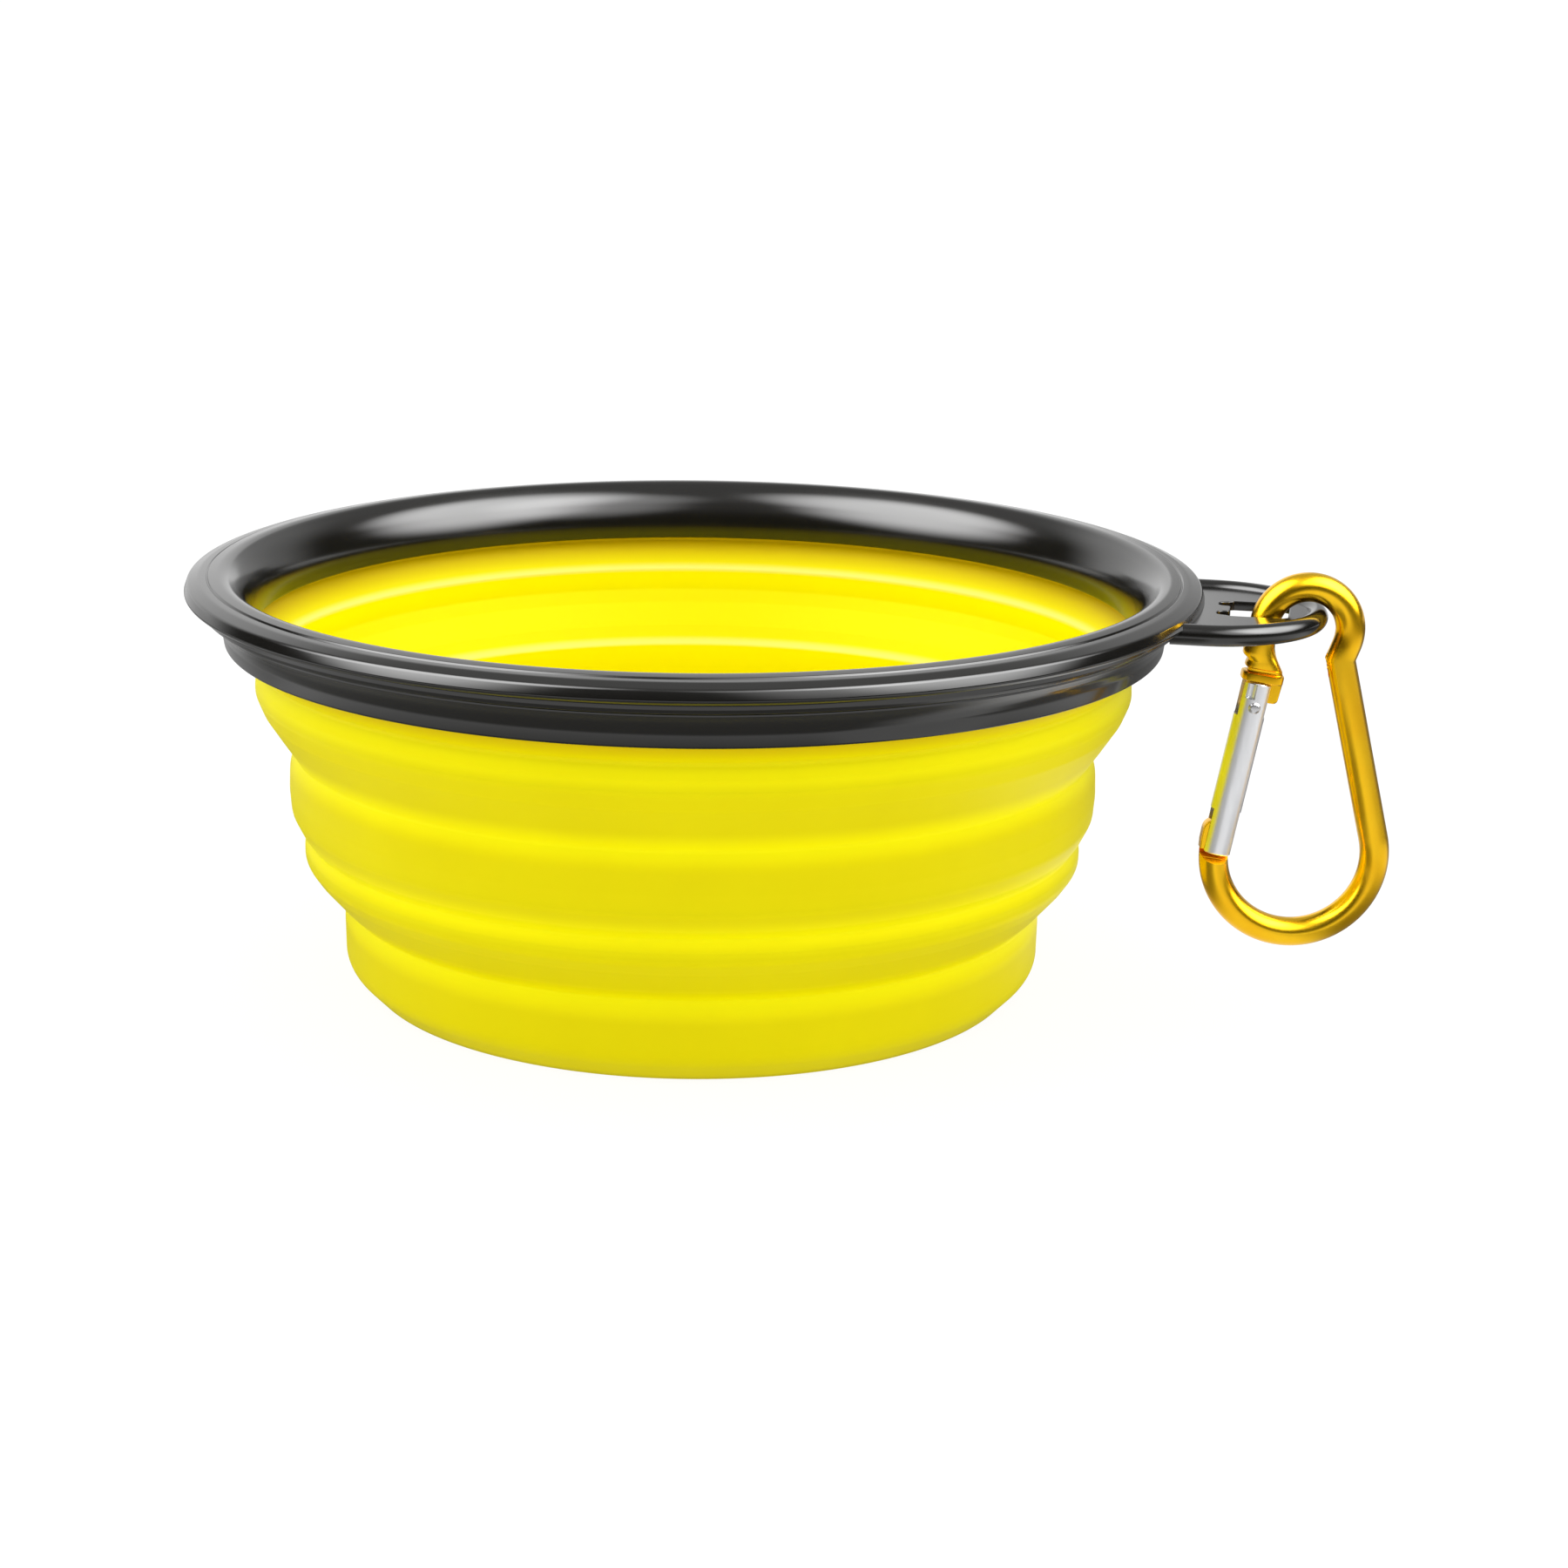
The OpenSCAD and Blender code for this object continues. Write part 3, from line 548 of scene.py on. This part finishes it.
# The nose: the bar flows into a wider flat head with a nick on its outer side and a groove across it;
# below it stands the latch with a lip and a stop.
def loft(name, sections, sides=56):
    """A bar along Y through (y, left, right, half thickness, squareness) sections."""
    bm = bmesh.new()
    rings = []
    for y, left, right, half_t, power in sections:
        ring = []
        for k in range(sides):
            c, d = math.cos(2 * math.pi * k / sides), math.sin(2 * math.pi * k / sides)
            x = math.copysign(abs(c) ** (2 / power), c) * (right - left) / 2 + (right + left) / 2
            z = math.copysign(abs(d) ** (2 / power), d) * half_t
            ring.append(bm.verts.new((x * MM, y * MM, z * MM)))
        rings.append(ring)
    for a, b in zip(rings, rings[1:]):
        for k in range(sides):
            bm.faces.new((a[k], a[(k + 1) % sides], b[(k + 1) % sides], b[k]))
    bm.faces.new(rings[0])
    bm.faces.new(rings[-1])
    bmesh.ops.recalc_face_normals(bm, faces=bm.faces)
    mesh = bpy.data.meshes.new(name)
    bm.to_mesh(mesh)
    bm.free()
    return link(name, mesh)


out_x, in_x, lip_end, stop_end = -1.4, 3.8, latch_y + 0.7, latch_y - 0.7
head = loft("nose_head", [(nose_y + up, left, right, half_t, power) for up, left, right, half_t, power in (
    (4.0, -1.79, 1.79, 1.79, 2), (3.4, -1.825, 1.825, 1.825, 2), (2.6, -1.84, 1.95, 1.82, 2.15),
    (1.9, -1.85, 2.20, 1.80, 2.5), (1.45, -1.80, 2.42, 1.78, 2.8), (1.3, -1.70, 2.52, 1.77, 2.9),
    (0.85, -1.10, 2.80, 1.75, 3), (0.75, -1.08, 2.88, 1.75, 3), (0.35, -1.20, 3.15, 1.74, 3.1),
    (0.0, -1.22, 3.40, 1.72, 3.2), (-0.1, -1.14, 3.48, 1.60, 3.2), (-0.14, -0.8, 3.46, 1.15, 3.4),
    (-0.62, -0.8, 3.66, 1.10, 3.6), (-0.67, -1.2, 3.76, 1.62, 3.8), (-0.75, -1.34, in_x, 1.72, 4),
    (-0.95, out_x, in_x, 1.74, 4), (-1.62, out_x, in_x, 1.74, 4),
    (-1.76, out_x + 0.12, in_x - 0.08, 1.6, 4))])
latch = plate("nose_latch", [(q.x * MM, q.y * MM) for q in rounded(
    [(out_x + 0.8, stop_end), (out_x + 0.8, nose_y - 1), (in_x, nose_y - 1), (in_x - 0.2, lip_end),
     (shift - 0.7, lip_end), (shift - 0.7, stop_end)],
    [0.3, 0, 0, 0.6, 0.3, 0.3], 5, True)], 2 * tongue * MM, 0.2)
for piece in (hinge_tongue, head, latch):
    piece.data.transform(Matrix.Translation(along(0) * MM) @ Matrix.Rotation(-lean, 4, "Z"))
carabiner = hang(joined("carabiner_frame", frame_bar, hinge_tongue, head, latch))
finished(carabiner, "carabiner", ["carabiner_frame"], anodised.mat, 38)


# Gate: bare, nearly round aluminium bar, slotted at both ends for the frame's tongues. It turns on the
# hinge rivet and is brushed along its length; by the tip a short channel is milled in its front.

def prism(name, section, low, high, ease=0.15):
    """A bar along Y from a closed (x, z) section, its end edges slightly eased."""
    bm = bmesh.new()
    rings = []
    for y, k in ((low, 1 - ease / 2), (low + ease, 1), (high - ease, 1), (high, 1 - ease / 2)):
        rings.append([bm.verts.new((q.x * k * MM, y * MM, q.y * k * MM)) for q in section])
    n = len(section)
    for a, b in zip(rings, rings[1:]):
        for k in range(n):
            bm.faces.new((a[k], a[(k + 1) % n], b[(k + 1) % n], b[k]))
    bm.faces.new(rings[0])
    bm.faces.new(rings[-1])
    bmesh.ops.recalc_face_normals(bm, faces=bm.faces)
    mesh = bpy.data.meshes.new(name)
    bm.to_mesh(mesh)
    bm.free()
    return link(name, mesh)


milled = Surface("bare_aluminium", Metallic=1.0)
brush = milled.noise(2400, 4, 0.6, (1, 1, 0.12))
smear = milled.noise(260, 4)
milled.set(Base_Color=milled.mix(smear, (0.80, 0.81, 0.83), (0.90, 0.905, 0.92)),
           Roughness=brush * 0.16 + smear * 0.10 + 0.20)
milled.bump(brush, 0.14, 0.02)

heel_y, web_heel, web_tip = -1.3, pivot_y + bar + 0.3 + 1.5, latch_y - 1.32
depth = 1.925
section = rounded([(-depth, -bar), (depth, -bar), (depth, bar), (-depth, bar)], [1.8] * 4, 12, True)
gate = prism("carabiner_gate", section, heel_y, tip_y)
gate_turn = math.radians(-1.1)
gate.data.transform(Matrix.Translation((shift * MM, tip_y * MM, 0)) @ Matrix.Rotation(gate_turn, 4, "Z")
                    @ Matrix.Translation((0, -tip_y * MM, 0)))
carved(gate, block((-3, heel_y - 1, -1), (4, web_heel, 1)), block((-3, web_tip, -1), (4, tip_y + 1, 1)))
channel_x, channel_z, channel_r = shift - 0.8, bar - 0.05, 0.62
channel = [Vector((channel_x, y, channel_z)) * MM for y in (latch_y + 1.05, tip_y - 0.12)]
carved(gate, tube("cutter", channel, channel_r * MM, 24))
finished(hang(gate, True), "gate", ["carabiner_gate"], milled.mat, 35)


# Latch pin: steel, pressed through the gate's cheeks; its low domed heads stand just proud of them.
# The hinge rivet, the push rod and the gate spring are the same steel; the last two keep their modelled
# shapes, because they sit inside the gate.
steel = Surface("pin_steel", Metallic=1.0)
turned = steel.noise(1800, 3)
steel.set(Base_Color=steel.mix(turned, (0.50, 0.50, 0.51), (0.70, 0.70, 0.71)),
          Roughness=turned * 0.15 + 0.20)
steel.bump(turned, 0.1, 0.01)
pin = lathe("latch_pin", rounded([
    (0, -2.0), (0.45, -1.98), (0.78, -1.78), (0.7, -1.6), (0.55, -1.55),
    (0.55, 1.55), (0.7, 1.6), (0.78, 1.78), (0.45, 1.98), (0, 2.0)],
    [0, 0.3, 0.08, 0.1, 0.1, 0.1, 0.1, 0.08, 0.3, 0], 4), False, 32)
pin.data.transform(Matrix.Translation((shift * MM, latch_y * MM, 0)))
finished(hang(pin, True), "gate", ["latch_pin"], steel.mat, 60)
rivet = lathe("hinge_rivet", rounded([
    (0, -1.56), (0.70, -1.5), (0.70, 1.5), (0, 1.56)], [0, 0.2, 0.2, 0], 4), False, 32)
rivet.data.transform(Matrix.Translation((shift / 2 * MM, pivot_y * MM, 0)))
finished(hang(rivet, True), "carabiner", ["hinge_rivet"], steel.mat, 60)
for inner_piece in ("push_rod", "gate_spring"):
    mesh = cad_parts[inner_piece].data
    mesh.materials.clear()
    mesh.materials.append(steel.mat)


# Studio: a plain pale floor that shows white with the bowl's faint shadow, a white backdrop, a softbox
# overhead and one on either side. Gloss sees none of the white, but a room of its own: dim on the camera's
# side, pale behind, with three soft lamps, and a floor with a shadow painted near the bowl and beside the
# carabiner, painted darker behind the bowl and far off.
floor_mesh = bpy.data.meshes.new("floor")
floor_mesh.from_pydata([(-30, -30, 0), (30, -30, 0), (30, 30, 0), (-30, 30, 0)], [], [(0, 1, 2, 3)])
floor = link("floor", floor_mesh)
floor.location.z = -0.00005
table = Surface("floor")
table.tree.nodes.remove(table.shader)
camera_sees = table.node("LightPath", "Is Camera Ray")
gloss_sees = table.node("LightPath", "Is Glossy Ray")
on_table = table.node("TexCoord", "Object")
spot = table.node("VectorMath", "Value", (("operation", "LENGTH"),), Vector=on_table)
table_x = table.node("SeparateXYZ", "X", Vector=on_table)
table_y = table.node("SeparateXYZ", "Y", Vector=on_table)
# Painted shadow, seen only in gloss: the floor's glow is painted darker near the bowl and beside the
# carabiner, where their shadows fall.
right_side = table_y.rises(-0.072, -0.055) * table_x.rises(0.078, 0.090)
beside = table_y.maths("MAXIMUM", table_x.rises(0.065, 0.045), right_side)
shaded = spot.rises(0.150, 0.100) * beside
far_side = table_x.rises(0.060, 0.090) * 0.9 + table_x.rises(0.04, -0.04) * 0.6
far_side = table_y.rises(-0.01, 0.05) * far_side
far_off = spot.rises(0.22, 0.32) * (1 - table_y.rises(0.22, 0.34) * 0.85)
mirrored = (1 - shaded * 0.85) * (1 - far_side * (1 - table_y.rises(0.22, 0.34))) * (1 - far_off * 0.9)
paper = table.node("BsdfDiffuse", Color=(0.9, 0.9, 0.9, 1))
lit = table.node("MixShader", Fac=camera_sees * 0.38 + gloss_sees * 0.4 + 0.5)
glow = table.node("Emission", Strength=camera_sees * 0.1 + gloss_sees * (mirrored - 0.94) + 0.94)
mixer = lit.out.node
table.tree.links.new(paper.out, mixer.inputs[1])
table.tree.links.new(glow.out, mixer.inputs[2])
table.tree.links.new(lit.out, table.tree.nodes["Material Output"].inputs["Surface"])
floor.data.materials.append(table.mat)

world = bpy.data.worlds.new("studio")
bpy.context.scene.world = world
world.use_nodes = True
air = Surface("studio", world.node_tree)
way = air.node("TexCoord", "Generated")
ahead = air.node("SeparateXYZ", "Y", Vector=way)
up = air.node("SeparateXYZ", "Z", Vector=way)


def lamp_glow(towards, edge, core):
    """A soft-edged round lamp in the mirrored room."""
    n = air.node("VectorMath", "Value", (("operation", "DOT_PRODUCT"),), Vector=way)
    n.out.node.inputs[1].default_value = Vector(towards).normalized()
    return n.rises(edge, core)


room = up.rises(0.25, 0.85) * 0.5 + 0.05
aside = air.node("SeparateXYZ", "X", Vector=way)
backdrop = ahead.rises(0.45, 0.75) * up.rises(0.72, 0.50) * (1 - aside.rises(0.12, 0.20) * 0.5)
lamps = lamp_glow((0.70, -0.25, 0.67), 0.79, 0.98) * 9 + lamp_glow((-0.70, -0.25, 0.67), 0.79, 0.98) * 9.5
lamps = lamps + lamp_glow((0.42, -0.60, 0.68), 0.86, 0.99) * 3
mirror_room = backdrop * (1.15 - room) + room + lamps
gloss = air.node("LightPath", "Is Glossy Ray")
shown = air.node("LightPath", "Is Camera Ray") + air.node("LightPath", "Is Transmission Ray")
strength = shown + gloss * mirror_room + (1 - shown - gloss) * (up.rises(0.0, 1.0) * 0.40 + 0.83)
air.tree.links.new(strength.out, air.tree.nodes["Background"].inputs["Strength"])
air.tree.nodes["Background"].inputs["Color"].default_value = (1, 1, 1, 1)


def softbox(name, at, size, watts, target=(0, 0, 0.03)):
    light = bpy.data.lights.new(name, "AREA")
    light.shape = "RECTANGLE"
    light.size, light.size_y = size
    light.energy = watts
    obj = bpy.data.objects.new(name, light)
    bpy.context.scene.collection.objects.link(obj)
    obj.location = at
    obj.rotation_euler = (Vector(target) - Vector(at)).to_track_quat("-Z", "Y").to_euler()
    obj.visible_glossy = False
    return obj


softbox("overhead", (0.0, 0.05, 1.0), (0.7, 0.7), 2.4)
softbox("right_softbox", (1.05, 0.05, 0.45), (0.8, 0.4), 1.5)
softbox("left_softbox", (-1.05, 0.0, 0.45), (0.8, 0.4), 1.5)

# Camera at the photograph's place: fifteen degrees down, seen along +Y, a hair of roll
camera = bpy.data.cameras.new("camera")
camera.lens = 73.2
camera.sensor_width = 36
camera.shift_x = 0.0581
camera.shift_y = -0.0237
camera.clip_start = 0.01
camera_obj = bpy.data.objects.new("camera", camera)
bpy.context.scene.collection.objects.link(camera_obj)
distance, aim_z, pitch, roll = 0.4161, 0.03, math.radians(14.85), math.radians(0.5)
camera_obj.location = (0, -distance * math.cos(pitch), distance * math.sin(pitch) + aim_z)
look = Matrix.Rotation(math.radians(90) - pitch, 4, "X") @ Matrix.Rotation(roll, 4, "Z")
camera_obj.rotation_euler = look.to_euler()
bpy.context.scene.camera = camera_obj
bpy.context.scene.view_settings.view_transform = "Standard"
